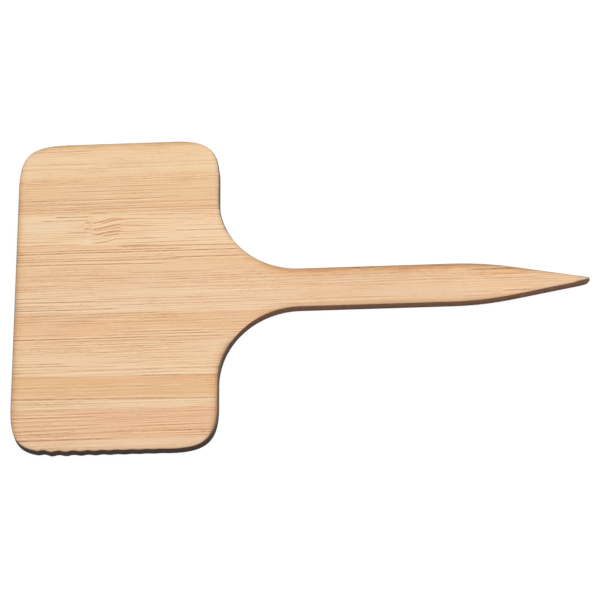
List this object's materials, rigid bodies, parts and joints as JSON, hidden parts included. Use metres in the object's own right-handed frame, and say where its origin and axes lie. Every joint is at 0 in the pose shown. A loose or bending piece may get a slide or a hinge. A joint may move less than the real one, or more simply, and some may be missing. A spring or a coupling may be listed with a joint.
{
  "type": "plant label stake",
  "caption": "Flat T shaped plant label stake of edge-glued bamboo: a broad writing plate with soft corners on a slim stem that tapers to a point for pushing into soil.",
  "frame": {"origin": "on the back face, under the middle of the label's length and width", "axes": "+X along the grain from the plate to the point, +Z out of the writing face, +Y to the reader's right when the point is down"},
  "size_m": [0.1, 0.06, 0.002],
  "materials": {
    "pale_bamboo": "unfinished bamboo, sanded smooth",
    "honey_bamboo": "unfinished bamboo, sanded smooth",
    "brown_bamboo": "unfinished bamboo, sanded smooth"
  },
  "bodies": {
    "root": {"stem_strip": "honey_bamboo", "right_strip_1": "honey_bamboo", "right_strip_2": "pale_bamboo", "right_strip_3": "brown_bamboo", "right_strip_4": "pale_bamboo", "right_edge_strip": "honey_bamboo", "left_strip_1": "brown_bamboo", "left_strip_2": "pale_bamboo", "left_strip_3": "brown_bamboo", "left_strip_4": "honey_bamboo", "left_edge_strip": "honey_bamboo"}
  },
  "joints": []
}
